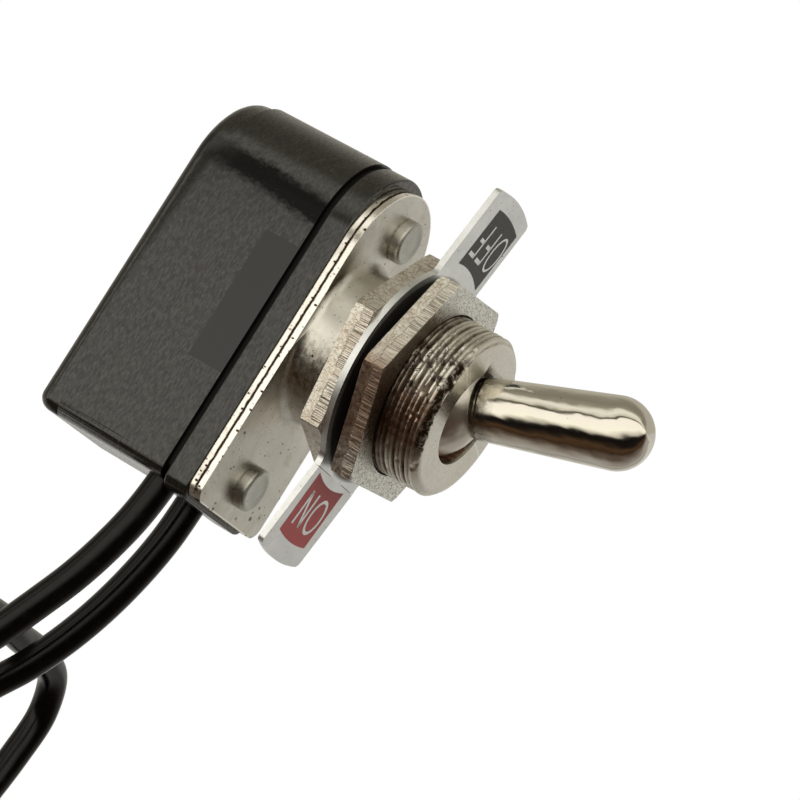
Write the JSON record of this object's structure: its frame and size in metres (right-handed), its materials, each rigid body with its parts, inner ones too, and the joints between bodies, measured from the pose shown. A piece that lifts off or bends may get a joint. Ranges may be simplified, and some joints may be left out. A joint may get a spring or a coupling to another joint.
{
  "type": "panel toggle switch",
  "caption": "Panel toggle switch with a bat lever, threaded bushing, hexagon nuts, an ON/OFF indicator plate, a riveted black case and wire leads.",
  "frame": {"origin": "middle of the case's back under the bushing's axis", "axes": "+Z along the bushing's axis from the case's back towards the lever, +X towards the ON side where the leads come out, +Y across the case"},
  "size_m": [0.0828, 0.036, 0.0371],
  "materials": {
    "phenolic": "matte",
    "steel": "satin",
    "brass": "satin",
    "nickel": "polished",
    "aluminium": "satin",
    "nylon": "satin",
    "copper": "satin",
    "silver": "satin",
    "tinned_wire": "satin",
    "pvc": "satin"
  },
  "bodies": {
    "housing": {"case": "phenolic", "cover": "phenolic", "lower_plate": "brass", "top_plate": "steel", "bushing": "nickel", "rivet_off": "steel", "rivet_on": "steel", "back_nut": "nickel", "indicator_plate": "aluminium", "common_terminal": "brass", "switched_terminal": "brass", "fixed_contact": "silver", "wire_common": "tinned_wire", "wire_switched": "tinned_wire", "lead_common": "pvc", "lead_switched": "pvc"},
    "toggle": {"lever": "nickel", "lever_spring": "steel"},
    "plunger": {"plunger": "nylon"},
    "rocker": {"contact_rocker": "copper", "moving_contact": "silver"},
    "nut": {"front_nut": "nickel"}
  },
  "joints": [
    {"name": "lever_pivot", "type": "hinge", "parent": "housing", "child": "toggle", "pos_m": [0, 0, 0.0223], "axis": [0, 1, 0], "range_deg": [0, 36]},
    {"name": "rocker_pivot", "type": "hinge", "parent": "housing", "child": "rocker", "pos_m": [0, 0, 0.0068], "axis": [0, 1, 0], "range_deg": [-14, 0]},
    {"name": "plunger_slide", "type": "slide", "parent": "toggle", "child": "plunger", "axis": [-0.309, 0, 0.9511], "range_m": [0, 0.0005], "stiffness_N_per_m": 400, "springref_m": -0.002, "deforming": ["lever_spring"]},
    {"name": "nut_travel", "type": "slide", "parent": "housing", "child": "nut", "axis": [0, 0, 1], "range_m": [-0.00065, 0.0031]}
  ],
  "couplings": [
    {"joint": "rocker_pivot", "follows": "lever_pivot", "ratio": -0.38889}
  ]
}
